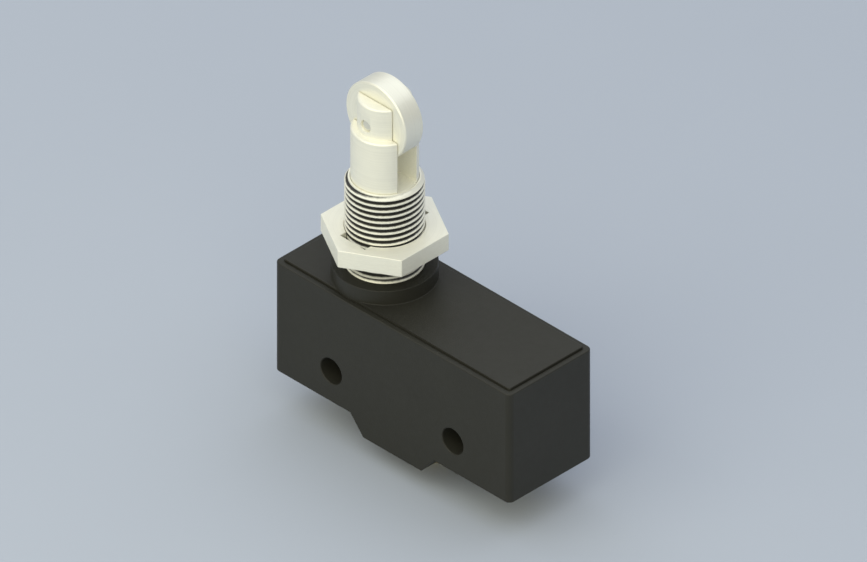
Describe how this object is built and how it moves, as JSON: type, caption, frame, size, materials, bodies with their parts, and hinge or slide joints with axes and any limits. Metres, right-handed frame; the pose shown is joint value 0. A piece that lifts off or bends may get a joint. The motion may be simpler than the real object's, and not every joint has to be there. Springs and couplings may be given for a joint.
{
  "type": "plunger micro switch",
  "caption": "Snap-action switch in a dark moulded case, with a threaded panel bushing, a hexagonal nut and a sprung plunger that carries a cross roller.",
  "frame": {"origin": "on the plunger's axis, at the collar's top face, where a panel lies", "axes": "+Z outwards along the plunger, +X along the case towards its long end, +Y across the case"},
  "size_m": [0.0492, 0.0196, 0.0618],
  "materials": {
    "moulded_body": "smooth dark moulding",
    "plated_steel": "bright satin plating",
    "ground_steel": "ground and polished",
    "terminal_brass": "satin",
    "spring_copper": "bright strip",
    "silver_contact": "bright",
    "spring_wire": "drawn wire",
    "pale_plastic": "natural moulding"
  },
  "bodies": {
    "housing": {"case": "moulded_body", "cover": "moulded_body", "bushing": "plated_steel", "button_guide": "pale_plastic", "normally_open_contact": "silver_contact", "normally_closed_contact": "silver_contact", "common_terminal": "terminal_brass", "normally_open_terminal": "terminal_brass", "normally_closed_terminal": "terminal_brass", "common_screw": "terminal_brass", "normally_open_screw": "terminal_brass", "normally_closed_screw": "terminal_brass", "common_washer": "terminal_brass", "normally_open_washer": "terminal_brass", "normally_closed_washer": "terminal_brass"},
    "plunger": {"plunger": "plated_steel", "roller_pin": "ground_steel"},
    "roller": {"roller": "ground_steel"},
    "nut": {"panel_nut": "plated_steel"},
    "button": {"push_button": "pale_plastic", "spring_seat": "pale_plastic", "overtravel_spring": "spring_wire"},
    "blade": {"snap_blade": "spring_copper", "moving_contact": "silver_contact"}
  },
  "joints": [
    {"name": "plunger_press", "type": "slide", "parent": "housing", "child": "plunger", "axis": [0, 0, -1], "range_m": [0, 0.004], "stiffness_N_per_m": 600, "springref_m": -0.004, "deforming": ["overtravel_spring"]},
    {"name": "roller_spin", "type": "hinge", "parent": "plunger", "child": "roller", "pos_m": [0, 0, 0.02625], "axis": [0, 1, 0], "continuous": true},
    {"name": "nut_run", "type": "slide", "parent": "housing", "child": "nut", "axis": [0, 0, 1], "range_m": [-0.003, 0.008]},
    {"name": "button_press", "type": "slide", "parent": "housing", "child": "button", "axis": [0, 0, -1], "range_m": [0, 0.0003]},
    {"name": "blade_swing", "type": "hinge", "parent": "housing", "child": "blade", "pos_m": [-0.0107, 0, -0.00915], "axis": [0, 1, 0], "range_deg": [0, 1.61]}
  ],
  "couplings": [
    {"joint": "button_press", "follows": "plunger_press", "ratio": 0.075},
    {"joint": "blade_swing", "follows": "plunger_press", "rad_per_m": 7.0094}
  ]
}
